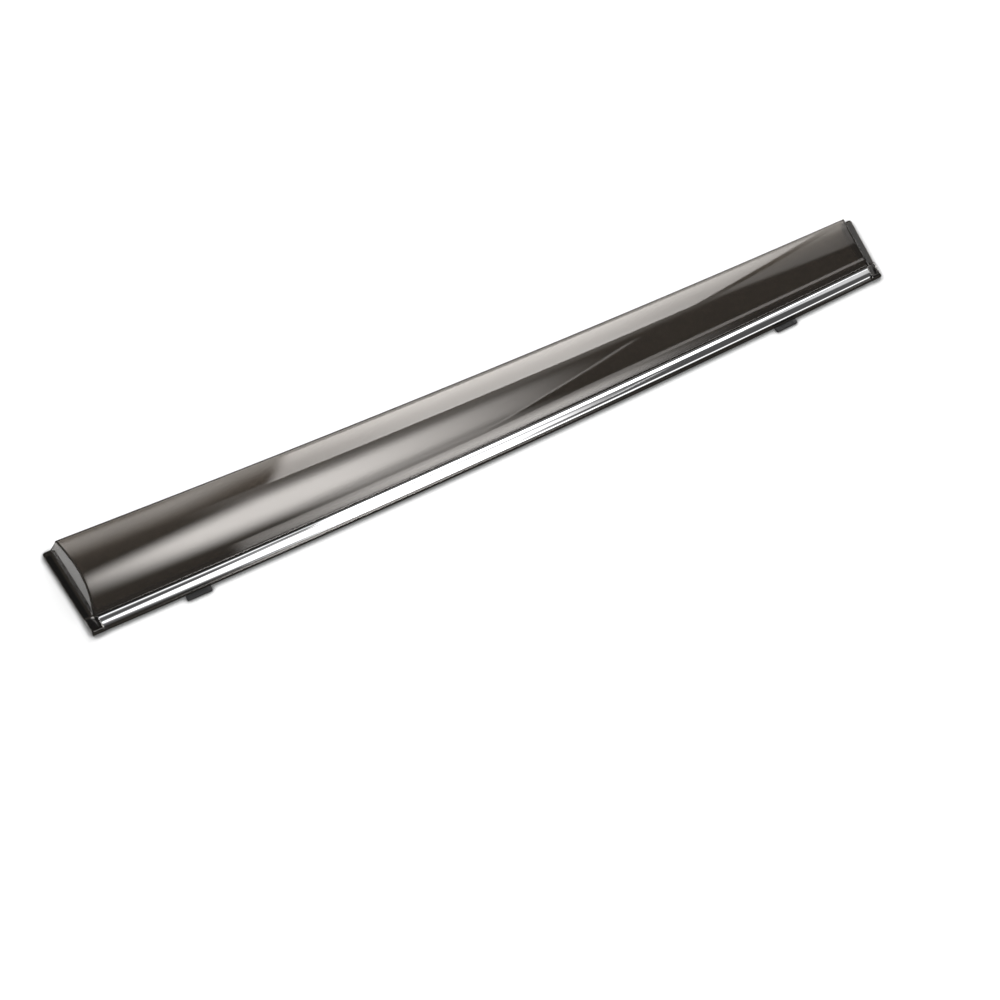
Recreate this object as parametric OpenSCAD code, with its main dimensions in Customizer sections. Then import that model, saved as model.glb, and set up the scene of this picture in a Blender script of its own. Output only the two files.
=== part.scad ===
// Side window rain deflector: one moulded, smoked acrylic visor with a bright trim strip laid
// into its mounting flange, foam tape on the faces that meet the door frame, and two clips
// that push into the window channel.
// It lies on its tape faces (Z = 0) with the brow upwards. X runs along the mounting edge from
// the wide end to the narrow end, and Y runs from the mounting edge to the free edge.
// The origin is the middle of the mounting tape's adhesive face.

/* [Outline] */
// Length of the mounting edge between its two corners
edge_length = 900; // [600:5:1100]
// How far the mounting edge bows outwards at mid-length
bow = 6; // [0:0.5:10]
// Distance from the mounting edge to the free edge at the wide end
wide_reach = 102; // [90:0.5:125]
// Distance from the mounting edge to the free edge at the narrow end
narrow_reach = 78; // [65:0.5:100]
// Angle by which the wide end splays outwards
wide_splay = 7.2; // [0:0.1:12]
// Angle by which the narrow end splays outwards
narrow_splay = 10; // [0:0.1:14]

/* [Brow] */
// Height of the crown above the flange at the wide end
wide_crown = 18.7; // [12:0.1:26]
// Height of the crown above the flange at the narrow end
narrow_crown = 13.1; // [9:0.1:22]
// Thickness of the moulded brow
brow_wall = 2.6; // [2:0.1:3.2]
// Width of the bevel along the free edge
bevel_width = 1.7; // [1:0.1:3]
// Angle by which that bevel falls away from the brow's outer face
bevel_angle = 15; // [5:1:25]
// Radius of the two edges of the free edge
free_edge_radius = 0.5; // [0.2:0.1:0.8]
// Height of the fillet where the brow's inner face runs into the flange
foot_fillet = 1.2; // [0.8:0.1:1.8]

/* [End walls] */
// Angle by which the end walls lean inwards from upright
wall_lean = 29; // [10:0.5:33]
// Thickness of the end walls, measured along the mounting edge
wall_thickness = 2.2; // [1.8:0.1:3]
// Draft of the end walls' inner faces over their height
wall_draft = 0.3; // [0.2:0.1:1]
// Radius along the crest, where the end walls turn into the brow
crest_radius = 1; // [0.3:0.1:1.2]

/* [Flange] */
// Thickness of the flange all round
flange_thickness = 2.6; // [2.2:0.1:3.6]
// Width of the mounting flange, up to the foot of the brow
mount_flange_width = 17.4; // [16.8:0.1:22]
// Width of the flange outside the wide end wall
wide_flange_width = 9.3; // [8.6:0.1:13]
// Width of the flange outside the narrow end wall
narrow_flange_width = 7.3; // [6.6:0.1:11]
// Radius of the free corners of the end flanges
free_corner_radius = 3.5; // [1:0.1:5]
// Radius along the outer top edge of the mounting flange
rim_radius = 0.9; // [0.3:0.1:1.2]
// Chamfer along the sides of the end flanges
flange_chamfer = 0.7; // [0.2:0.1:1.2]
// Height left upright under the free ends of that chamfer
side_land = 0.1; // [0.1:0.1:0.6]

/* [Corner blocks] */
// Height of each corner block above the flange
block_rise = 2.6; // [1:0.1:4]
// How far the wide end's block runs in past the end wall
wide_block_run = 1.2; // [1.1:0.1:5]
// How far the narrow end's block runs in past the end wall
narrow_block_run = 1.6; // [1.1:0.1:5]
// Radius along the outer top edges of each corner block
block_radius = 2.4; // [1.2:0.1:2.6]
// Radius of the edge beside the trim strip
block_end_radius = 1; // [0.4:0.1:1]
// How far each corner block stands proud of the mounting edge
block_proud = 0.25; // [0.1:0.05:0.5]
// How far each corner block runs in past the brow's foot, on the end flange
block_lap = 1; // [0:0.1:2]

/* [Trim strip] */
// Width of the trim strip
trim_width = 12.7; // [8:0.1:13.2]
// Distance from the mounting edge to the trim strip
trim_inset = 3.4; // [2.2:0.1:3.6]
// Thickness of the trim strip at its outer long edge
trim_edge = 0.7; // [0.4:0.1:1.5]
// Width of the facet along each long edge of the trim strip
trim_facet = 2.4; // [1:0.1:3]
// Slope of the outer facet
trim_outer_angle = 40; // [30:1:50]
// Slope of the facet beside the brow
trim_brow_angle = 18; // [14:1:30]
// Slope of the trim strip's crowned middle where it meets the facets
trim_crown_angle = 14; // [2:1:18]
// Depth of the groove that the trim strip lies in
groove_depth = 1; // [0.6:0.1:1.4]
// Gap between the trim strip and the sides and ends of its groove
trim_gap = 0.15; // [0.1:0.05:0.3]
// Thickness of the bonding film under the trim strip
bond_thickness = 0.3; // [0.2:0.05:0.5]
// How far the bonding film lies inside the trim strip's edges
bond_margin = 1; // [0.5:0.1:2]

/* [Foam tape] */
// Thickness of the foam tape
tape_thickness = 1; // [0.8:0.1:1.6]
// Width of the tape along the mounting flange
mount_tape_width = 8; // [5:0.1:8.2]
// Distance from the mounting edge to that tape
mount_tape_inset = 8.5; // [8.4:0.1:9]
// Distance from the outer line of each end to the ends of that tape
mount_tape_end = 4; // [2:0.5:12]
// Width of the tape along each end flange
end_tape_width = 4.8; // [3:0.1:5]
// Distance from the outer line of each end to its tape
end_tape_inset = 1.7; // [1:0.1:2]
// Space left between the mounting tape and the end tapes, and at their free ends
tape_space = 4; // [1:0.5:8]

/* [Clips] */
// Length of each clip along the mounting edge
clip_length = 26; // [20:0.5:32]
// Distance from the wide end's corner to the nearer clip
wide_clip_place = 92; // [40:0.5:200]
// Distance from the narrow end's corner to the nearer clip
narrow_clip_place = 113; // [40:0.5:200]
// How far each clip stands out beyond the mounting edge
clip_reach = 5.8; // [4.5:0.1:10]
// How far each clip's foot runs in under the flange
clip_foot = 8; // [5:0.1:8.2]
// Thickness of the clip's foot
clip_foot_thickness = 0.75; // [0.5:0.05:0.8]
// Thickness of the clip's tongue
clip_tongue_thickness = 2; // [1.2:0.1:2.6]
// Radius of the tongue's corners
clip_corner_radius = 1.8; // [0.5:0.1:2.5]
// Chamfer along the tongue's outer edge, which leads it into the channel
clip_lead = 0.6; // [0.2:0.1:1]
// Gap between the tongue and the side of the flange
clip_gap = 0.2; // [0.1:0.05:0.4]
// Number of gripping ribs on the tongue
rib_count = 6; // [3:1:8]
// Width of each rib
rib_width = 1; // [0.6:0.1:1.4]
// Depth of the recess that the ribs stand in
rib_depth = 0.45; // [0.2:0.05:0.7]
// How far the ribs' tops lie below the face of the tongue
rib_drop = 0.1; // [0.05:0.05:0.15]
// Width of the plain border along both sides of that recess
rib_border = 1; // [0.8:0.1:1.4]
// Length of the plain pad at each end of the recess
clip_pad = 4.5; // [3:0.5:6]

/* [Hidden] */
$fn = 48;

WIDE = -1;
NARROW = 1;

// Steps along the length, across the brow, and round a small edge
length_steps = 22;
brow_steps = 20;
edge_steps = 4;
nose_steps = 2;
crest_steps = 3;

// Run in which a corner block's end turns into the open groove
turn_run = 0.05;

// Heights above the rest plane
flange_top = tape_thickness + flange_thickness;
block_top = flange_top + block_rise;
groove_floor = flange_top - groove_depth;
trim_floor = groove_floor + bond_thickness;

// The foot of the brow, and the inner edge of the flange under it
foot = mount_flange_width;
flange_inner = foot + brow_wall;

// The groove that the trim strip lies in
groove_start = trim_inset - trim_gap;
groove_end = trim_inset + trim_width + trim_gap;

function reach(side) = side == WIDE ? wide_reach : narrow_reach;
function crown(side) = side == WIDE ? wide_crown : narrow_crown;
function splay(side) = side == WIDE ? wide_splay : narrow_splay;
function end_width(side) = side == WIDE ? wide_flange_width : narrow_flange_width;
function wall_in(side) = end_width(side) + wall_thickness;
function block_end(side) =
    wall_in(side) + wall_draft + (side == WIDE ? wide_block_run : narrow_block_run);
function mix(a, b, t) = a + (b - a) * t;

// The mounting edge is a shallow bow between the end walls. Its middle lies half a tape and the
// tape's inset from the origin.
mount_y = -(mount_tape_inset + mount_tape_width / 2);
bow_half = (edge_length - wide_flange_width - narrow_flange_width) / 2;
function edge_y(x) = mount_y + bow * pow(x / bow_half, 2);
corner_y = mount_y + bow;

// X of an end's outer line, moved inwards by inset, at the depth d from the mounting edge
function end_x(side, d, inset) =
    side * (edge_length / 2 + d * tan(splay(side)) - inset / cos(splay(side)));

// A line of points at the depth d, between lines inset from the two ends
function edge_line(d, wide_inset, narrow_inset) = [
    for (i = [0 : length_steps])
        let (t = i / length_steps)
        let (x = mix(end_x(WIDE, 0, wide_inset), end_x(NARROW, 0, narrow_inset), t))
        [mix(end_x(WIDE, d, wide_inset), end_x(NARROW, d, narrow_inset), t), edge_y(x) + d]
];

function reversed(list) = [for (i = [len(list) - 1 : -1 : 0]) list[i]];

// A flat band between two depths from the mounting edge
module edge_band(d0, d1, wide_inset, narrow_inset, height) {
    linear_extrude(height)
        polygon(concat(edge_line(d0, wide_inset, narrow_inset),
                       reversed(edge_line(d1, wide_inset, narrow_inset))));
}

// Skin of a solid from equal rings of points, one after the other, closed at both ends
module loft(rings) {
    n = len(rings[0]);
    last = len(rings) - 1;
    sides = [
        for (i = [0 : last - 1], j = [0 : n - 1])
            let (a = i * n + j, b = i * n + (j + 1) % n)
            each [[a, b, a + n], [b, b + n, a + n]]
    ];
    caps = [[for (j = [n - 1 : -1 : 0]) j], [for (j = [0 : n - 1]) last * n + j]];
    polyhedron([for (ring = rings) each ring], concat(sides, caps), convexity = 8);
}

// Section of the brow, as depth from its foot and height above the flange. One curve leaves the
// foot softly, climbs steeply, turns over the crown and falls a little to the free edge.
foot_pull = [0.08, 0.13];
knee_pull = [0.195, 1.60];
free_end = [1, 0.73];
function brow_curve(s) =
    3 * s * pow(1 - s, 2) * foot_pull + 3 * s * s * (1 - s) * knee_pull + s * s * s * free_end;
function brow_slope(s) =
    3 * pow(1 - s, 2) * foot_pull + 6 * s * (1 - s) * (knee_pull - foot_pull)
    + 3 * s * s * (free_end - knee_pull);

// A point of the brow at one end, under its outer face by a depth measured square to it
function brow_width(side) = reach(side) - foot - bevel_width;
function brow_angle(side, s) =
    let (m = brow_slope(s)) atan2(m[1] * crown(side), m[0] * brow_width(side));
function brow_point(side, s, under) =
    let (c = brow_curve(s), a = brow_angle(side, s))
    [foot + c[0] * brow_width(side) + under * sin(a),
     flange_top + c[1] * crown(side) - under * cos(a)];

// The free edge, from the end of its bevel round to the inner face: its two edges are rounded. On
// the crest it draws back by the same depth as the outer face.
function nose(side, depth) =
    let (r = max(free_edge_radius - depth, 0), out = bevel_width - max(free_edge_radius, depth))
    let (upper = (depth + r + out * sin(bevel_angle)) / cos(bevel_angle), lower = brow_wall - r)
    let (a = brow_angle(side, 1))
    [for (arc = [[bevel_angle, 90, upper], [90, 180, lower]], i = [0 : nose_steps])
        let (turn = mix(arc[0], arc[1], i / nose_steps))
        brow_point(side, 1, arc[2]) + out * [cos(a), sin(a)]
        + r * [sin(turn - a), cos(turn - a)]];
function nose_end(side, depth) = nose(side, depth)[2 * nose_steps + 1][0];

// How far a rounded edge has fallen back at the distance u from its side
function fall(u, r) = u >= r ? 0 : r - sqrt(r * r - pow(r - u, 2));

// Every section of the moulding has the same points in the same order. First comes the mounting
// flange, with its rounded rim and the groove for the trim strip.
rim_part = concat(
    [[0, tape_thickness]],
    [for (i = [0 : edge_steps])
        let (a = 90 * i / edge_steps)
        [rim_radius * (1 - cos(a)), flange_top - rim_radius * (1 - sin(a))]],
    [[groove_start, flange_top], [groove_start, groove_floor],
     [groove_end, groove_floor], [groove_end, flange_top]]
);

// A corner block takes the place of rim and groove near an end
function block_part(side, u) =
    let (r = block_radius, back = u < end_width(side) ? foot + block_lap : foot - block_proud)
    let (top = block_top - fall(u, r) - fall(block_end(side) - u, block_end_radius))
    concat(
        [[-block_proud, tape_thickness]],
        [for (i = [0 : edge_steps])
            let (a = 90 * i / edge_steps)
            [r * (1 - cos(a)) - block_proud, min(top, block_top - r * (1 - sin(a)))]],
        [for (i = [edge_steps - 1 : -1 : 0])
            let (a = 90 * i / (edge_steps - 1))
            [back - r * (1 - cos(a)), min(top, block_top - r * (1 - sin(a)))]]
    );

// Then comes the outer face of the brow with its free edge, at a depth under its full height
function outer_face(side, depth) = concat(
    [for (i = [0 : brow_steps]) brow_point(side, i / brow_steps, depth)],
    nose(side, depth)
);

// On an end flange that face lies flat, with a chamfer at the side and a round free corner
function flat_face(side, u) =
    let (top = flange_top - max(flange_chamfer - u, 0))
    let (d_end = reach(side) - fall(u, free_corner_radius), start = foot + block_lap)
    let (last = 2 * nose_steps + 1)
    concat(
        [for (i = [0 : brow_steps])
            let (d = brow_point(side, i / brow_steps, 0)[0])
            [mix(start, d_end, (d - foot) / (reach(side) - foot)), top]],
        [for (i = [0 : last]) [d_end, mix(top, tape_thickness + side_land, i / last)]]
    );

// Last comes the underside: the inner face of the brow, or a flat base at the ends
inner_start = 3;
function inner_face(side) = concat(
    [for (i = [brow_steps - 1 : -1 : inner_start]) brow_point(side, i / brow_steps, brow_wall)],
    [[flange_inner, flange_top - foot_fillet], [flange_inner, tape_thickness]]
);
function flat_base(d_end) = concat(
    [for (i = [brow_steps - 1 : -1 : inner_start])
        let (t = (i + 1 - inner_start) / (brow_steps - inner_start))
        [mix(flange_inner, d_end, t), tape_thickness]],
    [[flange_inner, tape_thickness], [foot, tape_thickness]]
);

// Lays points on the line at the distance u from an end. What stands above the flange leans
// inwards by the given slope.
function laid(side, u, lean, points) = [
    for (p = points)
        [end_x(side, p[0], u) - side * lean * max(p[1] - flange_top, 0), p[0], p[1]]
];

// The sections of one end, from its outer line to the start of the groove
function end_sections(side) =
    let (lean = tan(wall_lean), wall_out = end_width(side), clear = wall_in(side) + wall_draft)
    let (w = block_end(side), r = block_end_radius, crest = crest_radius)
    concat(
        [for (u = concat(
                [for (i = [0 : 2 * edge_steps])
                    free_corner_radius * (1 - cos(90 * i / (2 * edge_steps)))],
                [wall_out - wall_draft]))
            concat(laid(side, u, 0, block_part(side, u)),
                   laid(side, u, 0, concat(flat_face(side, u),
                                           flat_base(reach(side) - fall(u, free_corner_radius)))))],
        [for (ring = concat(
                [for (a = [0 : 90 / crest_steps : 90]) [crest * (1 - cos(a)), crest * (1 - sin(a))]],
                [[wall_thickness, 0]]))
            let (u = wall_out + ring[0])
            concat(laid(side, u, 0, block_part(side, u)),
                   laid(side, u, lean, concat(outer_face(side, ring[1]),
                                              flat_base(nose_end(side, ring[1])))))],
        [for (u = [clear, w - r, w - r / 2, w - turn_run])
            concat(laid(side, u, 0, block_part(side, u)),
                   laid(side, u, lean, concat(outer_face(side, 0), inner_face(side))))],
        [concat(laid(side, w, 0, rim_part),
                laid(side, w, lean, concat(outer_face(side, 0), inner_face(side))))]
    );

// Moves a whole section to where the mounting edge lies there
function on_edge(section) =
    let (y = edge_y(section[0][0])) [for (p = section) [p[0], p[1] + y, p[2]]];

module visor_shell() {
    wide = end_sections(WIDE);
    narrow = end_sections(NARROW);
    last = len(wide) - 1;
    color([0.26, 0.24, 0.21, 0.75])
        loft([
            for (section = concat(
                    wide,
                    [for (i = [1 : length_steps - 1])
                        mix(wide[last], narrow[last], i / length_steps)],
                    reversed(narrow)))
                on_edge(section)
        ]);
}

// The trim strip's upper side, as distance across it and height: a sloping facet along each long
// edge, and between them a crowned middle that is one arc
crown_radius = (trim_width / 2 - trim_facet) / sin(trim_crown_angle);
facet_rise = trim_facet * tan(trim_outer_angle);
trim_top = concat(
    [[0, 0]],
    [for (i = [-edge_steps : edge_steps])
        let (a = trim_crown_angle * i / edge_steps)
        [trim_width / 2 + crown_radius * sin(a),
         facet_rise + crown_radius * (cos(a) - cos(trim_crown_angle))]],
    [[trim_width, facet_rise - trim_facet * tan(trim_brow_angle)]]
);

module trim_strip() {
    section = concat(
        [[trim_inset + trim_width, trim_floor], [trim_inset, trim_floor]],
        [for (p = trim_top) [trim_inset + p[0], trim_floor + trim_edge + p[1]]]
    );
    lines = [for (p = section)
        edge_line(p[0], block_end(WIDE) + trim_gap, block_end(NARROW) + trim_gap)];
    color("gainsboro")
        loft([
            for (i = [0 : length_steps])
                [for (j = [0 : len(section) - 1]) [lines[j][i][0], lines[j][i][1], section[j][1]]]
        ]);
}

module trim_bond() {
    color("whitesmoke")
        translate([0, 0, groove_floor])
            edge_band(trim_inset + bond_margin, trim_inset + trim_width - bond_margin,
                      block_end(WIDE) + trim_gap + bond_margin,
                      block_end(NARROW) + trim_gap + bond_margin, bond_thickness);
}

module mount_tape() {
    color([0.09, 0.09, 0.09])
        edge_band(mount_tape_inset, mount_tape_inset + mount_tape_width,
                  mount_tape_end, mount_tape_end, tape_thickness);
}

module end_tape(side) {
    near = mount_tape_inset + mount_tape_width + tape_space;
    far = reach(side) - tape_space;
    outer = end_tape_inset;
    inner = end_tape_inset + end_tape_width;
    color([0.09, 0.09, 0.09])
        linear_extrude(tape_thickness)
            polygon([for (p = [[near, outer], [far, outer], [far, inner], [near, inner]])
                [end_x(side, p[0], p[1]), corner_y + p[0]]]);
}

// Outline of a clip's tongue, with round outer corners
module tongue_outline(depth) {
    r = clip_corner_radius;
    union() {
        translate([r, 0]) square([clip_length - 2 * r, depth]);
        translate([0, r]) square([clip_length, depth - r]);
        translate([r, r]) circle(r);
        translate([clip_length - r, r]) circle(r);
    }
}

// A clip: a thin foot bonded under the flange, and a thicker tongue. The tongue's outer edge is
// chamfered, and gripping ribs stand in a recess between two plain pads.
module clip(start) {
    tongue = clip_reach - clip_gap;
    ribbed = clip_length - 2 * clip_pad;
    pitch = ribbed / rib_count;
    recess_floor = clip_tongue_thickness - rib_depth;
    foot_lap = clip_corner_radius;
    middle = start + clip_length / 2;
    color([0.12, 0.12, 0.12])
        translate([middle, edge_y(middle), tape_thickness - clip_foot_thickness])
            rotate(atan(2 * bow * middle / pow(bow_half, 2)))
                translate([-clip_length / 2, -clip_reach, 0]) {
                    translate([0, tongue - foot_lap, 0])
                        cube([clip_length, foot_lap + clip_gap + clip_foot, clip_foot_thickness]);
                    difference() {
                        intersection() {
                            linear_extrude(clip_tongue_thickness) tongue_outline(tongue);
                            rotate([90, 0, 90])
                                linear_extrude(clip_length)
                                    polygon([[0, 0], [tongue, 0], [tongue, clip_tongue_thickness],
                                             [clip_lead, clip_tongue_thickness],
                                             [0, clip_tongue_thickness - clip_lead]]);
                        }
                        translate([clip_pad, rib_border, recess_floor])
                            cube([ribbed, tongue - 2 * rib_border, clip_tongue_thickness]);
                    }
                    for (i = [0 : rib_count - 1])
                        translate([clip_pad + pitch * (i + 0.5) - rib_width / 2,
                                   rib_border / 2, recess_floor - rib_depth])
                            cube([rib_width, tongue - rib_border, 2 * rib_depth - rib_drop]);
                }
}

module wide_end_clip() clip(wide_clip_place - edge_length / 2);

module narrow_end_clip() clip(edge_length / 2 - narrow_clip_place - clip_length);

visor_shell();
trim_strip();
trim_bond();
mount_tape();
end_tape(WIDE);  // wide_end_tape
end_tape(NARROW);  // narrow_end_tape
wide_end_clip();
narrow_end_clip();
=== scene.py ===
"""Side window rain deflector: a smoked acrylic visor with a bright trim strip, foam tape and two clips.

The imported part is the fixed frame. X runs along the mounting edge from the wide end to the narrow end,
Y from the mounting edge to the free edge, and Z away from the door frame. Lengths are in metres.
"""

import math
from collections import namedtuple

import bmesh
import bpy
from mathutils import Matrix, Quaternion, Vector


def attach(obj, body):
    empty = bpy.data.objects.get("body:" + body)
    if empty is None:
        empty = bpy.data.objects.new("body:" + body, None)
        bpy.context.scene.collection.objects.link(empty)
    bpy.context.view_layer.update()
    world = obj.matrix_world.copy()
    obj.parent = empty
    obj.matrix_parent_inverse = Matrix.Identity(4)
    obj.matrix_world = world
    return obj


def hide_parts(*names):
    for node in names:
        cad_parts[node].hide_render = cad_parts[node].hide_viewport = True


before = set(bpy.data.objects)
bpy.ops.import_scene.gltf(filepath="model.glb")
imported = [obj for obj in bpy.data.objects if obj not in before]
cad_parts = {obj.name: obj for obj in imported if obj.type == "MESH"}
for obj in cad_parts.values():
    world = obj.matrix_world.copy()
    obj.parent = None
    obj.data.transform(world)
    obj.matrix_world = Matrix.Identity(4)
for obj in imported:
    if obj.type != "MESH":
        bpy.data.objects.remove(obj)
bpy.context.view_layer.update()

# Camera: a product shot from above, with the mounting edge and its trim strip towards the viewer.
# It is rolled a little, as the photograph was turned to lay the part along its diagonal.
camera_place = Vector((-0.4011, -0.66333, 1.32828))
camera_view = Vector((0.23812, 0.40413, -0.88316))
camera_roll = 0.0447
lens = bpy.data.cameras.new("camera")
lens.sensor_width = 36
lens.lens = 54.7
camera = bpy.data.objects.new("camera", lens)
camera.location = camera_place
turned = camera_view.to_track_quat("-Z", "Y") @ Quaternion((0, 0, 1), camera_roll)
camera.rotation_euler = turned.to_euler()
bpy.context.scene.collection.objects.link(camera)
bpy.context.scene.camera = camera
bpy.context.scene.view_settings.view_transform = "Standard"


# Studio: softboxes drawn by direction in the world, over a white paper floor. A direction is given by
# its turn from overhead towards the back, and by its swing towards the narrow end, both in degrees.
class Shade:
    """One socket in a node tree, on which sums can be written."""

    def __init__(self, tree, socket=None):
        self.tree = tree
        self.socket = socket

    def node(self, kind, settings=None, values=None, output=0):
        """Adds a node, sets it up, fills its sockets with values or links, and gives one output."""
        made = self.tree.nodes.new(kind)
        for name, value in (settings or {}).items():
            if name == "stops":
                ramp = made.color_ramp
                while len(ramp.elements) < len(value):
                    ramp.elements.new(0.5)
                for stop, (place, colour) in zip(ramp.elements, value):
                    stop.position = place
                    stop.color = colour
            else:
                setattr(made, name, value)
        for name, value in (values or {}).items():
            if isinstance(value, Shade):
                self.tree.links.new(value.socket, made.inputs[name])
            else:
                made.inputs[name].default_value = value
        return Shade(self.tree, made.outputs[output])

    def sum(self, operation, *values):
        return self.node("ShaderNodeMath", {"operation": operation}, dict(enumerate(values)))

    def __add__(self, other):
        return self.sum("ADD", self, other)

    def __sub__(self, other):
        return self.sum("SUBTRACT", self, other)

    def __rsub__(self, other):
        return self.sum("SUBTRACT", other, self)

    def __mul__(self, other):
        return self.sum("MULTIPLY", self, other)

    __radd__ = __add__
    __rmul__ = __mul__


def new_tree(owner):
    """Clears the nodes of a material or world, and gives its empty tree."""
    owner.use_nodes = True
    owner.node_tree.nodes.clear()
    return Shade(owner.node_tree)


def put_out(tree, kind, **links):
    """Adds the output node and links shaders to it."""
    made = tree.tree.nodes.new(kind)
    for name, shade in links.items():
        tree.tree.links.new(shade.socket, made.inputs[name])


def ease(value, low, high):
    """Rises smoothly from 0 to 1 while value goes from low to high."""
    return value.node("ShaderNodeMapRange", {"interpolation_type": "SMOOTHSTEP"},
                      {"Value": value, "From Min": low, "From Max": high})


def band(value, up, down):
    """Rises from 0 to 1 over the pair up, and falls to 0 again over the pair down."""
    return ease(value, *up) * (1 - ease(value, *down))


world = bpy.data.worlds.new("studio")
bpy.context.scene.world = world
sky = new_tree(world)
direction = sky.node("ShaderNodeTexCoord")
x, y, z = (sky.node("ShaderNodeSeparateXYZ", None, {0: direction}, i) for i in range(3))
swing = sky.sum("ARCSINE", x) * math.degrees(1)
turn = sky.sum("ARCTAN2", y, z) * math.degrees(1)

to_front = 0 - turn
to_left = 0 - swing
low_swing = sky.sum("MINIMUM", swing, 6)
main_edge = swing - turn * 0.112
right_edge = swing - turn * 0.237

# The softbox overhead has soft sides and one straight edge, with a thin bright rim beyond it.
main_box = (ease(turn + low_swing, -47, 1) * (1 - ease(turn - low_swing * 2, -1, 22))
            * band(swing, (-6.5, 3.5), (7.5, 21)) * (1 - ease(main_edge, 19.1, 19.4)))
main_rim = band(main_edge, (18.8, 19.1), (19.3, 19.6)) * band(turn, (-40, -34), (16, 22))

# The softbox behind stands before a pale wall, with faint glows round it.
gap_glow = band(turn, (26, 31), (37, 38)) * band(swing, (3, 6), (20, 30))
back_box = (ease(turn + swing * 0.15, 36.6, 37.8) * (1 - ease(turn, 54, 57))
            * ease(swing - turn * 0.06, 4.5, 5.3) * (0.7 + 0.3 * ease(swing, 7, 14))
            * (1 - ease(swing, 18, 34)) * (1 - ease(right_edge, 15.8, 16.2)))
back_wall = band(turn, (43, 57), (100, 130)) * (0.3 + 0.7 * ease(swing, 2, 6))
back_glow = band(turn, (36, 52), (53, 57)) * (1 - ease(swing, 3, 7))

# The softbox in front hangs low, before a wall with a stepped edge.
front_glow = band(to_front, (28, 40), (50, 58)) * band(swing, (4.5, 9.5), (13.5, 19))
front_box = band(to_front, (45, 63), (66, 78)) * band(swing, (2, 12), (15, 27))
front_step = ease(ease(swing, 12, 20) * 10 - turn, 49, 54)
front_wall = (front_step * (1 - ease(to_front, 86, 92)) * band(swing, (2.4, 3.4), (34, 44))
              * (1 - ease(swing, 18, 24) * ease(to_front, 49, 53)))

# Panels and key lights stand at the sides.
right_glow = (ease(turn + swing * 3, 102, 110) * (1 - ease(turn, 50, 60))
              * band(swing, (22, 27), (29, 33)) * (1 - band(right_edge, (15.8, 16.2), (17, 17.4))))
side_wall = 1 - ease(swing, -58, -42)
right_key = band(turn, (30, 36), (64, 72)) * band(swing, (36, 40), (56, 62))
left_key = band(turn, (30, 36), (64, 72)) * band(to_left, (20, 26), (48, 56))

dark_room = 0.08
panels = (
    (main_box, 5.5), (main_rim, 1), (gap_glow, 0.4), (back_box, 3.6), (back_wall, 1.1), (front_glow, 1.1),
    (front_box, 2.9), (front_wall, 1.1), (back_glow, 1), (right_glow, 0.55), (side_wall, 0.4),
    (right_key, 10), (left_key, 3),
)
light = sum((panel * strength for panel, strength in panels), dark_room)

# The camera sees plain white behind the piece. The floor is helped a little, also where it is seen in
# or through the piece, and its colour is painted darker close beside the piece: a painted contact shadow,
# where little light gets in.
backdrop = sky.node("ShaderNodeLightPath", output="Is Camera Ray")
put_out(sky, "ShaderNodeOutputWorld", Surface=sky.node("ShaderNodeBackground", None, {
    "Color": (1, 1, 1, 1), "Strength": light * (1 - backdrop) + backdrop}))

floor_mesh = bpy.data.meshes.new("floor")
floor_bm = bmesh.new()
bmesh.ops.create_grid(floor_bm, x_segments=1, y_segments=1, size=6)
floor_bm.to_mesh(floor_mesh)
floor_bm.free()
floor = bpy.data.objects.new("floor", floor_mesh)
bpy.context.scene.collection.objects.link(floor)
floor_finish = bpy.data.materials.new("white_floor")
paper = new_tree(floor_finish)
seen_lift = 0.16
mirrored_lift = 0.12
# How far out from the piece the painted contact shadow reaches.
shadow_reach = 0.006
seen = paper.node("ShaderNodeLightPath", output="Is Camera Ray")
mirrored = paper.node("ShaderNodeLightPath", output="Is Glossy Ray")
through = paper.node("ShaderNodeLightPath", output="Is Transmission Ray")
lift = paper.node("ShaderNodeEmission", None, {
    "Color": (1, 1, 1, 1),
    "Strength": seen * seen_lift + paper.sum("MINIMUM", mirrored + through, 1.0) * mirrored_lift,
})
# Painted shade: the floor's colour darkens where little sky is open, a painted contact shadow.
open_sky = paper.node("ShaderNodeAmbientOcclusion", {"samples": 6}, {"Distance": shadow_reach},
                      output="AO")
painted_contact_shadow = paper.node("ShaderNodeValToRGB", {
    "stops": [(0.7, (0.04, 0.04, 0.04, 1)), (0.94, (0.93, 0.93, 0.93, 1))]}, {"Fac": open_sky})
sheet = paper.node("ShaderNodeBsdfDiffuse", None, {"Color": painted_contact_shadow})
put_out(paper, "ShaderNodeOutputMaterial",
        Surface=paper.node("ShaderNodeAddShader", None, {0: sheet, 1: lift}))
floor_mesh.materials.append(floor_finish)

# Visor shell: one clear smoked acrylic moulding, stuck to the door frame with foam tape. The brow is
# crowned and narrows towards one end. Its end walls lean inwards and stand on flanges, and the mounting
# flange has a groove for the trim. Its free edge, its mounting rim, the gap beside the trim and the
# ridges of its end walls carry dark lines of painted shade.
mm = 0.001
edge_length = 900 * mm
bow = 6 * mm
brow_wall = 2.6 * mm
bevel_width = 1.7 * mm
bevel_angle = math.radians(15)
free_edge_radius = 0.5 * mm
foot_fillet = 1.2 * mm
wall_slope = math.tan(math.radians(29))
wall_thickness = 2.2 * mm
wall_draft = 0.3 * mm
crest_radius = 1 * mm
tape_thickness = 1 * mm
flange_thickness = 2.6 * mm
foot = 17.4 * mm
free_corner_radius = 3.5 * mm
rim_radius = 0.9 * mm
flange_chamfer = 0.7 * mm
side_land = 0.1 * mm
block_rise = 2.6 * mm
block_radius = 2.4 * mm
block_end_radius = 1 * mm
block_proud = 0.25 * mm
block_lap = 1 * mm
groove_depth = 1 * mm
trim_inset = 3.4 * mm
trim_width = 12.7 * mm
trim_gap = 0.15 * mm
mount_y = -12.5 * mm
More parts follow.
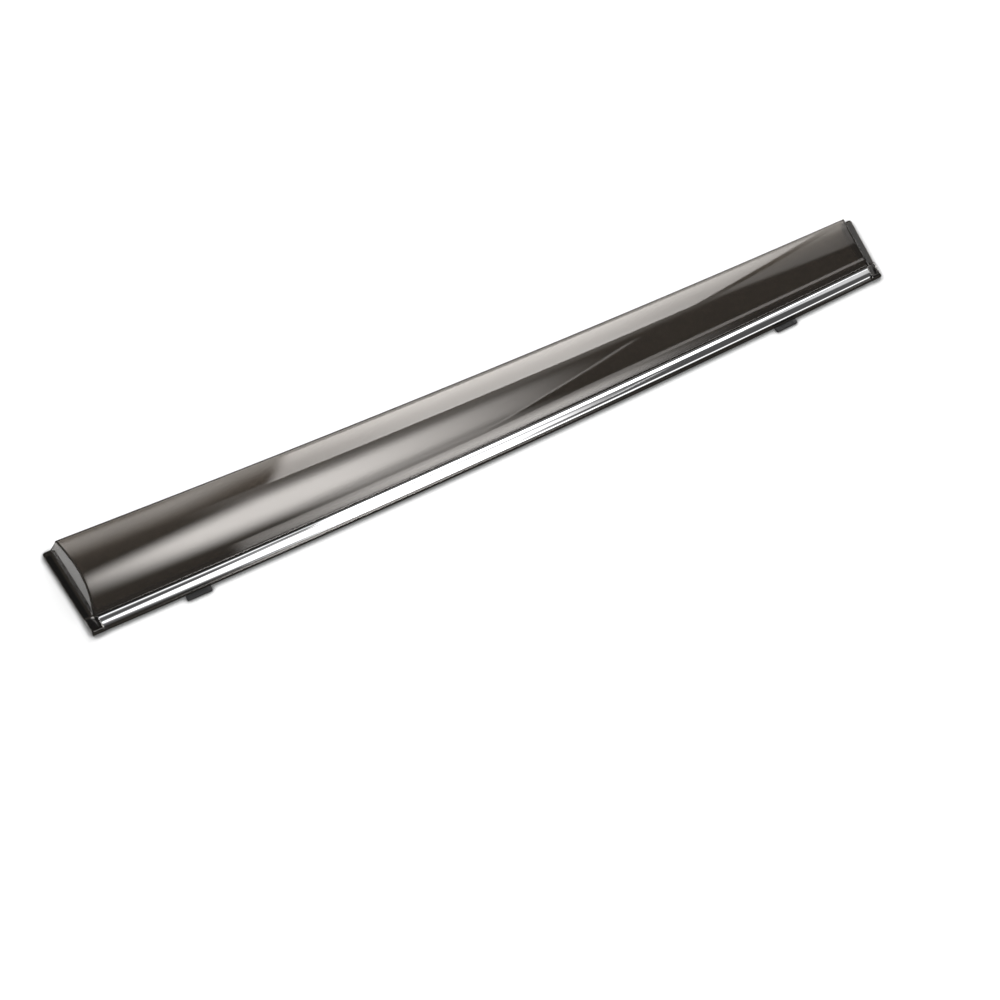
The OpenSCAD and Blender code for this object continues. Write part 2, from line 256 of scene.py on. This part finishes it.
# The dark lines of painted shade along the edges: how softly they blend, their reach in from the mounting
# edge, and their span on the end walls' ridges.
shade_edge_blend = 0.1 * mm
rim_shade_span = (0.7 * mm, 1 * mm)
ridge_shade_span = ((0.2 * mm, 0.3 * mm), (1.5 * mm, 1.7 * mm))
ridge_height = (7 * mm, 7.5 * mm)
smooth_angle = math.radians(32)

End = namedtuple("End", "side reach splay crown flange block_run")
wide_end = End(-1, 102 * mm, math.radians(7.2), 18.7 * mm, 9.3 * mm, 1.2 * mm)
narrow_end = End(1, 78 * mm, math.radians(10), 13.1 * mm, 7.3 * mm, 1.6 * mm)

length_steps = 120
brow_steps = 56
nose_steps = 5
edge_steps = 6
inner_start = 8

flange_top = tape_thickness + flange_thickness
block_top = flange_top + block_rise
groove_floor = flange_top - groove_depth
flange_inner = foot + brow_wall
bow_half = (edge_length - wide_end.flange - narrow_end.flange) / 2


def mix(a, b, t):
    return a + (b - a) * t


def edge_y(x):
    """Y of the mounting edge, which is a shallow bow."""
    return mount_y + bow * (x / bow_half) ** 2


def end_x(end, depth, inset):
    """X of an end's outer line, moved inwards by inset, at a depth from the mounting edge."""
    return end.side * (edge_length / 2 + depth * math.tan(end.splay) - inset / math.cos(end.splay))


def wall_inside(end):
    return end.flange + wall_thickness


def block_end(end):
    return wall_inside(end) + wall_draft + end.block_run


def quarter(steps):
    """Sine and cosine of the angles of a quarter turn."""
    turns = [math.pi / 2 * i / steps for i in range(steps + 1)]
    return [(math.sin(a), math.cos(a)) for a in turns]


def fall(distance, radius):
    """How far a rounded edge has fallen back at a distance from its side."""
    if distance >= radius:
        return 0
    return radius - math.sqrt(radius ** 2 - (radius - distance) ** 2)


foot_pull = Vector((0.08, 0.13))
knee_pull = Vector((0.195, 1.60))
free_end = Vector((1, 0.73))


def brow_width(end):
    return end.reach - foot - bevel_width


def brow_angle(end, s):
    slope = (3 * (1 - s) ** 2 * foot_pull + 6 * s * (1 - s) * (knee_pull - foot_pull)
             + 3 * s * s * (free_end - knee_pull))
    return math.atan2(slope[1] * end.crown, slope[0] * brow_width(end))


def brow_point(end, s, under=0):
    """A point of the brow's section, as depth and height, at a distance under its outer face."""
    curve = 3 * s * (1 - s) ** 2 * foot_pull + 3 * s * s * (1 - s) * knee_pull + s ** 3 * free_end
    angle = brow_angle(end, s)
    return (foot + curve[0] * brow_width(end) + under * math.sin(angle),
            flange_top + curve[1] * end.crown - under * math.cos(angle))


def nose(end, under=0):
    """The free edge from the end of its bevel round to the inner face, with both its edges rounded."""
    radius = max(free_edge_radius - under, 0)
    out = bevel_width - max(free_edge_radius, under)
    upper = (under + radius + out * math.sin(bevel_angle)) / math.cos(bevel_angle)
    angle = brow_angle(end, 1)
    points = []
    for start, stop, level in ((bevel_angle, math.pi / 2, upper),
                               (math.pi / 2, math.pi, brow_wall - radius)):
        depth, height = brow_point(end, 1, level)
        for i in range(nose_steps + 1):
            facing = mix(start, stop, i / nose_steps) - angle
            points.append((depth + out * math.cos(angle) + radius * math.sin(facing),
                           height + out * math.sin(angle) + radius * math.cos(facing)))
    return points


def rim_part():
    """The mounting flange with its rounded rim and the groove for the trim strip."""
    rim = [(rim_radius * (1 - c), flange_top - rim_radius * (1 - s)) for s, c in quarter(edge_steps)]
    groove_start = trim_inset - trim_gap
    groove_end = trim_inset + trim_width + trim_gap
    spare = [(mix(groove_start, groove_end, i / edge_steps), groove_floor) for i in range(edge_steps + 1)]
    return ([(0, tape_thickness)] + rim + [(groove_start, flange_top)] + spare
            + [(groove_end, flange_top)])


def block_part(end, u):
    """A corner block, which takes the place of rim and groove near an end."""
    top = block_top - fall(u, block_radius) - fall(block_end(end) - u, block_end_radius)
    back_line = foot + block_lap if u < end.flange else foot - block_proud
    front = [(block_radius * (1 - c) - block_proud, min(top, block_top - block_radius * (1 - s)))
             for s, c in quarter(edge_steps)]
    back = [(back_line - block_radius * (1 - c), min(top, block_top - block_radius * (1 - s)))
            for s, c in reversed(quarter(edge_steps + 2))]
    return [(-block_proud, tape_thickness)] + front + back


def outer_face(end, under=0):
    """The outer face of the brow with its free edge."""
    return [brow_point(end, i / brow_steps, under) for i in range(brow_steps + 1)] + nose(end, under)


def flat_face(end, u):
    """The same points laid flat on an end flange, with a chamfer at its side."""
    top = flange_top - max(flange_chamfer - u, 0)
    depth_end = end.reach - fall(u, free_corner_radius)
    depths = [brow_point(end, i / brow_steps)[0] for i in range(brow_steps + 1)]
    last = 2 * nose_steps + 1
    return ([(mix(foot + block_lap, depth_end, (d - foot) / (end.reach - foot)), top) for d in depths]
            + [(depth_end, mix(top, tape_thickness + side_land, i / last)) for i in range(last + 1)])


def inner_face(end):
    """The inner face of the brow, down to the flange."""
    return ([brow_point(end, i / brow_steps, brow_wall)
             for i in range(brow_steps - 1, inner_start - 1, -1)]
            + [(flange_inner, flange_top - foot_fillet), (flange_inner, tape_thickness)])


def flat_base(depth_end):
    """The flat underside of an end."""
    count = brow_steps - inner_start
    return ([(mix(depth_end, flange_inner, (i + 1) / (count + 1)), tape_thickness) for i in range(count)]
            + [(flange_inner, tape_thickness), (foot, tape_thickness)])


def laid(end, u, slope, points):
    """Lays points on the line at the distance u from an end. What stands up leans inwards by slope."""
    return [(end_x(end, d, u) - end.side * slope * max(h - flange_top, 0), d, h) for d, h in points]


def end_sections(end):
    """The sections of one end, from its outer line to the start of the groove."""
    sections = []
    corner = [free_corner_radius * (1 - c) for s, c in quarter(2 * edge_steps)]
    for u in corner + [end.flange - wall_draft]:
        base = flat_base(end.reach - fall(u, free_corner_radius))
        sections.append(laid(end, u, 0, block_part(end, u)) + laid(end, u, 0, flat_face(end, u) + base))
    crest = [(end.flange + crest_radius * (1 - c), crest_radius * (1 - s))
             for s, c in quarter(edge_steps)]
    for u, under in crest + [(wall_inside(end), 0)]:
        wall = outer_face(end, under) + flat_base(nose(end, under)[-1][0])
        sections.append(laid(end, u, 0, block_part(end, u)) + laid(end, u, wall_slope, wall))
    w, r = block_end(end), block_end_radius
    brow = outer_face(end) + inner_face(end)
    for u in [wall_inside(end) + wall_draft] + [w - r * c for s, c in quarter(edge_steps)][:-1]:
        sections.append(laid(end, u, 0, block_part(end, u)) + laid(end, u, wall_slope, brow))
    sections.append(laid(end, w, 0, rim_part()) + laid(end, w, wall_slope, brow))
    return sections


def on_edge(section):
    """Moves a section to where the mounting edge lies there."""
    shift = edge_y(section[0][0])
    return [Vector((x, d + shift, h)) for x, d, h in section]


def loft(name, sections):
    """A closed skin: the first ring of points is extruded from section to section, then capped."""
    bm = bmesh.new()
    ring = [bm.verts.new(p) for p in sections[0]]
    edges = [bm.edges.new((a, b)) for a, b in zip(ring, ring[1:] + ring[:1])]
    caps = [ring]
    for section in sections[1:]:
        grown = bmesh.ops.extrude_edge_only(bm, edges=edges)["geom"]
        fresh = {v for v in grown if isinstance(v, bmesh.types.BMVert)}
        ring = [next(e.other_vert(v) for e in v.link_edges if e.other_vert(v) in fresh) for v in ring]
        edges = [bm.edges.get((a, b)) for a, b in zip(ring, ring[1:] + ring[:1])]
        for vert, point in zip(ring, section):
            vert.co = point
    caps.append(ring)
    for cap in caps:
        bm.faces.new(cap)
    bmesh.ops.recalc_face_normals(bm, faces=bm.faces)
    return finished(name, bm)


def rank(item):
    """A number for an edge or a face, made from its vertices, by which every run sorts the same."""
    order = [v.index for v in item.verts]
    return min(order) * 1e10 + sum(i * i for i in order)


def finished(name, bm):
    """Turns a bmesh into an object in the row's frame, with its shallow edges smooth."""
    bm.verts.index_update()
    bm.edges.sort(key=rank)
    bm.faces.sort(key=rank)
    for face in bm.faces:
        face.smooth = True
    for edge in bm.edges:
        edge.smooth = edge.calc_face_angle(0) < smooth_angle
    mesh = bpy.data.meshes.new(name)
    bm.to_mesh(mesh)
    bm.free()
    piece = bpy.data.objects.new(name, mesh)
    bpy.context.scene.collection.objects.link(piece)
    return piece


def dress(piece, finish, slot, *nodes):
    """Gives a piece its finish and its body, and hides the nodes it stands for. The slot is not used."""
    piece.data.materials.append(finish)
    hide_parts(*nodes)
    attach(piece, "root")


def ripple(tree, scale, stretch=(1, 1, 1), detail=2):
    """Noise on the piece's own coordinates, in metres, between 0 and 1."""
    place = tree.node("ShaderNodeMapping", None, {
        "Vector": tree.node("ShaderNodeTexCoord", output="Object"),
        "Scale": stretch,
    })
    return tree.node("ShaderNodeTexNoise", None, {"Vector": place, "Scale": scale, "Detail": detail})


def edge_place(tree):
    """The piece's own coordinates, with Y counted from the bowed mounting edge."""
    spot = tree.node("ShaderNodeTexCoord", output="Object")
    along, across, above = (tree.node("ShaderNodeSeparateXYZ", None, {0: spot}, i) for i in range(3))
    bow_share = along * (1 / bow_half)
    return along, across - mount_y - bow_share * bow_share * bow, above


wide_sections = end_sections(wide_end)
narrow_sections = end_sections(narrow_end)
between = [
    [tuple(mix(a, b, i / length_steps) for a, b in zip(p, q))
     for p, q in zip(wide_sections[-1], narrow_sections[-1])]
    for i in range(1, length_steps)
]
shell = loft("smoked_shell", [on_edge(s) for s in wide_sections + between + narrow_sections[::-1]])

smoked_acrylic = bpy.data.materials.new("smoked_acrylic")
smoke = new_tree(smoked_acrylic)
flow = ripple(smoke, 9, (1, 3, 3))
surface = smoke.node("ShaderNodeBsdfPrincipled", None, {
    "Base Color": (1, 1, 1, 1),
    "Roughness": 0.02 + flow * 0.02,
    "IOR": 1.6,
    "Specular Tint": (1, 0.93, 0.86, 1),
    "Transmission Weight": 1,
    "Coat Weight": 1,
    "Coat Roughness": 0.03,
    "Coat IOR": 1.6,
    "Normal": smoke.node("ShaderNodeBump", None, {"Strength": 0.1, "Distance": 0.2 * mm, "Height": flow}),
})
tint = smoke.node("ShaderNodeVolumeAbsorption", None, {"Color": (0.17, 0.09, 0.0, 1), "Density": 880})
along, depth, above = edge_place(smoke)
free_line = smoke.node("ShaderNodeMapRange", None, {
    "Value": along, "From Min": -edge_length / 2, "From Max": edge_length / 2,
    "To Min": wide_end.reach - bevel_width, "To Max": narrow_end.reach - bevel_width})
strip_side = trim_inset + trim_width
# Painted shade: dark lines at the free edge, the mounting rim, the gap beside the trim and the wall
# ridges.
painted_shade_edges = (ease(depth - free_line, -shade_edge_blend, shade_edge_blend) + (1 - ease(depth, *rim_shade_span))
            + band(depth, (strip_side, strip_side + shade_edge_blend),
                   (foot + shade_edge_blend, foot + 4 * shade_edge_blend)))
for end in (wide_end, narrow_end):
    past_flange = (along * -end.side + edge_length / 2 + depth * math.tan(end.splay)
                   - (above - flange_top) * wall_slope - end.flange)
    painted_shade_edges = painted_shade_edges + band(past_flange, *ridge_shade_span) * ease(above, *ridge_height)
# The painted shade: a dark finish with no reflection, which the mask above mixes in.
painted_shade_finish = smoke.node("ShaderNodeBsdfPrincipled", None, {
    "Base Color": (0.035, 0.032, 0.028, 1), "Roughness": 0.5 + flow * 0.1, "Specular IOR Level": 0.0})
surface = smoke.node("ShaderNodeMixShader", None, {
    0: smoke.sum("MINIMUM", painted_shade_edges, 1.0), 1: surface, 2: painted_shade_finish})
put_out(smoke, "ShaderNodeOutputMaterial", Surface=surface, Volume=tint)
dress(shell, smoked_acrylic, "smoked_acrylic", "visor_shell")

# Trim strip: a bright plated strip, bonded into the flange's groove between the corner blocks. Each
# long edge has a sloping facet, and the middle between them is crowned. Its rear edge is painted dark,
# a painted dark reflection.
trim_edge = 0.7 * mm
trim_facet = 2.4 * mm
trim_outer_slope = math.tan(math.radians(40))
trim_brow_slope = math.tan(math.radians(18))
trim_crown_angle = math.radians(14)
bond_thickness = 0.3 * mm
# How far in from the rear edge the plate's colour is painted dark, a painted reflection, and how softly.
rear_shade_width = 2.2 * mm
rear_shade_blend = 0.2 * mm
crown_steps = 16
trim_floor = groove_floor + bond_thickness


def trim_section():
    """Square below, with a facet along each long edge and one arc between them."""
    low = trim_floor + trim_edge
    rise = trim_facet * trim_outer_slope
    radius = (trim_width / 2 - trim_facet) / math.sin(trim_crown_angle)
    points = [(0, low)]
    for i in range(crown_steps + 1):
        angle = trim_crown_angle * (2 * i / crown_steps - 1)
        points.append((trim_width / 2 + radius * math.sin(angle),
                       low + rise + radius * (math.cos(angle) - math.cos(trim_crown_angle))))
    points.append((trim_width, low + rise - trim_facet * trim_brow_slope))
    return [(trim_inset + trim_width, trim_floor), (trim_inset, trim_floor)] + [
        (trim_inset + d, h) for d, h in points]


def edge_strip(points, wide_inset, narrow_inset):
    """Sections along the mounting edge, between lines inset from the two ends."""
    rows = []
    for i in range(length_steps + 1):
        t = i / length_steps
        shift = edge_y(mix(end_x(wide_end, 0, wide_inset), end_x(narrow_end, 0, narrow_inset), t))
        rows.append([Vector((mix(end_x(wide_end, d, wide_inset), end_x(narrow_end, d, narrow_inset), t),
                             d + shift, h)) for d, h in points])
    return rows


trim = loft("bright_strip", edge_strip(trim_section(), block_end(wide_end) + trim_gap,
                                       block_end(narrow_end) + trim_gap))
bright_trim = bpy.data.materials.new("bright_trim")
plate = new_tree(bright_trim)
polish = ripple(plate, 60, (0.2, 4, 4), 3)
# Painted reflection: the plate's colour turns dark along its rear edge.
rear_line = edge_place(plate)[1] - trim_inset - trim_width
put_out(plate, "ShaderNodeOutputMaterial", Surface=plate.node("ShaderNodeBsdfPrincipled", None, {
    "Base Color": plate.node("ShaderNodeValToRGB", {
        "stops": [(0, (0.93, 0.93, 0.94, 1)), (1, (0.08, 0.08, 0.08, 1))]},
        {"Fac": ease(rear_line, -rear_shade_width - rear_shade_blend, -rear_shade_width)}),
    "Metallic": 1,
    "Roughness": 0.03 + polish * 0.04,
    "Normal": plate.node("ShaderNodeBump", None, {
        "Strength": 0.05, "Distance": 0.05 * mm, "Height": polish}),
}))
dress(trim, bright_trim, "bright_trim", "trim_strip")


# Bonding film: a thin double-sided adhesive film that holds the strip in its groove. It was laid by
# hand from a roll, and it stays just inside the strip's edges.
def flat_band(name, inset, width, height, thickness, wide_inset, narrow_inset):
    """A strip of tape along the mounting edge, cut square."""
    section = [(inset + width, height), (inset, height), (inset, height + thickness),
               (inset + width, height + thickness)]
    return loft(name, edge_strip(section, wide_inset, narrow_inset))


bond_margin = 1 * mm
bond = flat_band("bonding_film", trim_inset + bond_margin, trim_width - 2 * bond_margin, groove_floor,
                 bond_thickness, block_end(wide_end) + trim_gap + bond_margin,
                 block_end(narrow_end) + trim_gap + bond_margin)
bonding_film = bpy.data.materials.new("bonding_film")
film = new_tree(bonding_film)
cloud = ripple(film, 300)
put_out(film, "ShaderNodeOutputMaterial", Surface=film.node("ShaderNodeBsdfPrincipled", None, {
    "Base Color": film.node("ShaderNodeValToRGB", {
        "stops": [(0.3, (0.62, 0.62, 0.6, 1)), (0.7, (0.72, 0.72, 0.7, 1))]}, {"Fac": cloud}),
    "Roughness": 0.45 + cloud * 0.2,
    "Normal": film.node("ShaderNodeBump", None, {"Strength": 0.2, "Distance": 0.1 * mm, "Height": cloud}),
}))
dress(bond, bonding_film, "bonding_film", "trim_bond")

# Foam tape: black closed-cell acrylic foam, cut from a roll and stuck under the mounting flange and
# under both end flanges. Its liner is off, and its cut sides show fine cells.
mount_tape_width = 8 * mm
mount_tape_inset = 8.5 * mm
mount_tape_end = 4 * mm
end_tape_width = 4.8 * mm
end_tape_inset = 1.7 * mm
tape_space = 4 * mm

foam_tape = bpy.data.materials.new("foam_tape")
foam = new_tree(foam_tape)
cells = foam.node("ShaderNodeTexVoronoi", None, {
    "Vector": foam.node("ShaderNodeTexCoord", output="Object"), "Scale": 3500})
foam_finish = foam.node("ShaderNodeBsdfPrincipled", None, {
    "Base Color": foam.node("ShaderNodeValToRGB", {
        "stops": [(0.1, (0.006, 0.006, 0.006, 1)), (0.7, (0.018, 0.018, 0.018, 1))]}, {"Fac": cells}),
    "Roughness": 0.75 + cells * 0.2,
    "Normal": foam.node("ShaderNodeBump", None, {"Strength": 0.4, "Distance": 0.1 * mm, "Height": cells}),
})
put_out(foam, "ShaderNodeOutputMaterial", Surface=foam_finish)

mounting_tape = flat_band("mounting_tape", mount_tape_inset, mount_tape_width, 0, tape_thickness,
                          mount_tape_end, mount_tape_end)
dress(mounting_tape, foam_tape, "foam_tape", "mount_tape")


def end_band(name, end):
    """The tape under an end flange, along the end's outer line."""
    near = mount_tape_inset + mount_tape_width + tape_space
    far = end.reach - tape_space
    corner_y = mount_y + bow
    rows = []
    for depth in (near, far):
        inner, outer = (end_x(end, depth, end_tape_inset + extra) for extra in (end_tape_width, 0))
        rows.append([Vector((x, corner_y + depth, h)) for x, h in (
            (inner, 0), (outer, 0), (outer, tape_thickness), (inner, tape_thickness))])
    return loft(name, rows)


dress(end_band("wide_foam", wide_end), foam_tape, "foam_tape", "wide_end_tape")
dress(end_band("narrow_foam", narrow_end), foam_tape, "foam_tape", "narrow_end_tape")

# Clips: black moulded plastic. A thin foot is bonded under the flange, and the thicker tongue stands
# out beyond the mounting edge. Gripping ribs stand in a recess between two plain pads.
clip_length = 26 * mm
clip_reach = 5.8 * mm
clip_foot = 8 * mm
clip_foot_thickness = 0.75 * mm
clip_tongue_thickness = 2 * mm
clip_corner_radius = 1.8 * mm
clip_lead = 0.6 * mm
clip_gap = 0.2 * mm
rib_count = 6
rib_width = 1 * mm
rib_depth = 0.45 * mm
rib_drop = 0.1 * mm
rib_border = 1 * mm
clip_pad = 4.5 * mm
hair = 1e-6
clip_places = {
    "wide_end_clip": 92 * mm - edge_length / 2 + clip_length / 2,
    "narrow_end_clip": edge_length / 2 - 113 * mm - clip_length / 2,
}

clip_plastic = bpy.data.materials.new("clip_plastic")
plastic = new_tree(clip_plastic)
grain = ripple(plastic, 2500)
put_out(plastic, "ShaderNodeOutputMaterial", Surface=plastic.node("ShaderNodeBsdfPrincipled", None, {
    "Base Color": plastic.node("ShaderNodeValToRGB", {
        "stops": [(0.3, (0.004, 0.004, 0.0045, 1)), (0.7, (0.008, 0.008, 0.0085, 1))]}, {"Fac": grain}),
    "Roughness": 0.4 + grain * 0.15,
    "Specular IOR Level": 0.4,
    "Normal": plastic.node("ShaderNodeBump", None, {
        "Strength": 0.3, "Distance": 0.05 * mm, "Height": grain}),
}))


def cut(bm, faces, place, normal):
    """Cuts faces with a plane, and gives all the faces that they became."""
    known = set(bm.faces) - set(faces)
    edges = {e for f in faces for e in f.edges}
    verts = {v for f in faces for v in f.verts}
    bmesh.ops.bisect_plane(bm, geom=list(faces) + list(edges) + list(verts), dist=1e-7, plane_co=place,
                           plane_no=normal)
    return [f for f in bm.faces if f not in known]


def pushed(bm, faces, move):
    """Extrudes faces by a move, and gives the faces at its end."""
    grown = bmesh.ops.extrude_face_region(bm, geom=faces)["geom"]
    bmesh.ops.delete(bm, geom=faces, context="FACES_ONLY")
    bmesh.ops.translate(bm, vec=move, verts=[g for g in grown if isinstance(g, bmesh.types.BMVert)])
    return [g for g in grown if isinstance(g, bmesh.types.BMFace)]


def clip(name, middle):
    """One clip, made about its own middle and then laid on the mounting edge."""
    tongue = clip_reach - clip_gap
    bm = bmesh.new()
    bmesh.ops.create_cube(bm, size=1)
    bmesh.ops.scale(bm, vec=(clip_length, tongue, clip_tongue_thickness), verts=bm.verts)
    bmesh.ops.translate(bm, vec=(0, tongue / 2 - clip_reach, clip_tongue_thickness / 2), verts=bm.verts)
    corners = [e for e in bm.edges if all(v.co.y < -clip_reach + hair for v in e.verts)
               and abs(e.verts[0].co.z - e.verts[1].co.z) > hair]
    bmesh.ops.bevel(bm, geom=corners, offset=clip_corner_radius, affect="EDGES", segments=6, profile=0.5,
                    material=-1)
    top = [e for e in bm.edges if all(v.co.z > clip_tongue_thickness - hair for v in e.verts)
           and max(v.co.y for v in e.verts) < -clip_reach + clip_corner_radius + hair]
    bmesh.ops.bevel(bm, geom=top, offset=clip_lead, affect="EDGES", segments=2, profile=0.5, material=-1)
    rear = [f for f in bm.faces if f.normal.y > 0.9]
    low = [f for f in cut(bm, rear, (0, 0, clip_foot_thickness), (0, 0, 1))
           if f.calc_center_median().z < clip_foot_thickness]
    pushed(bm, low, (0, clip_gap + clip_foot, 0))
    ribbed = clip_length - 2 * clip_pad
    pitch = ribbed / rib_count
    face = [max(bm.faces, key=lambda f: (round(f.calc_center_median().z, 6), f.calc_area()))]
    for place, normal in (((ribbed / 2, 0, 0), (1, 0, 0)), ((-ribbed / 2, 0, 0), (1, 0, 0)),
                          ((0, -clip_reach + rib_border, 0), (0, 1, 0)),
                          ((0, -clip_gap - rib_border, 0), (0, 1, 0))):
        face = cut(bm, face, place, normal)
    inside = [f for f in face if abs(f.calc_center_median().x) < ribbed / 2
              and -clip_reach + rib_border < f.calc_center_median().y < -clip_gap - rib_border]
    floor_faces = pushed(bm, inside, (0, 0, -rib_depth))
    for i in range(rib_count):
        centre = -ribbed / 2 + pitch * (i + 0.5)
        for side in (-1, 1):
            floor_faces = cut(bm, floor_faces, (centre + side * rib_width / 2, 0, 0), (1, 0, 0))
    ribs = [f for f in floor_faces
            if abs((f.calc_center_median().x + ribbed / 2) / pitch % 1 - 0.5) < rib_width / pitch / 2]
    pushed(bm, ribs, (0, 0, rib_depth - rib_drop))
    bmesh.ops.recalc_face_normals(bm, faces=bm.faces)
    slope = math.atan(2 * bow * middle / bow_half ** 2)
    bmesh.ops.rotate(bm, cent=(0, 0, 0), matrix=Matrix.Rotation(slope, 3, "Z"), verts=bm.verts)
    bmesh.ops.translate(bm, vec=(middle, edge_y(middle), tape_thickness - clip_foot_thickness),
                        verts=bm.verts)
    piece = finished(name.replace("_end_clip", "_clip"), bm)
    dress(piece, clip_plastic, "clip_plastic", name)


for name, middle in clip_places.items():
    clip(name, middle)
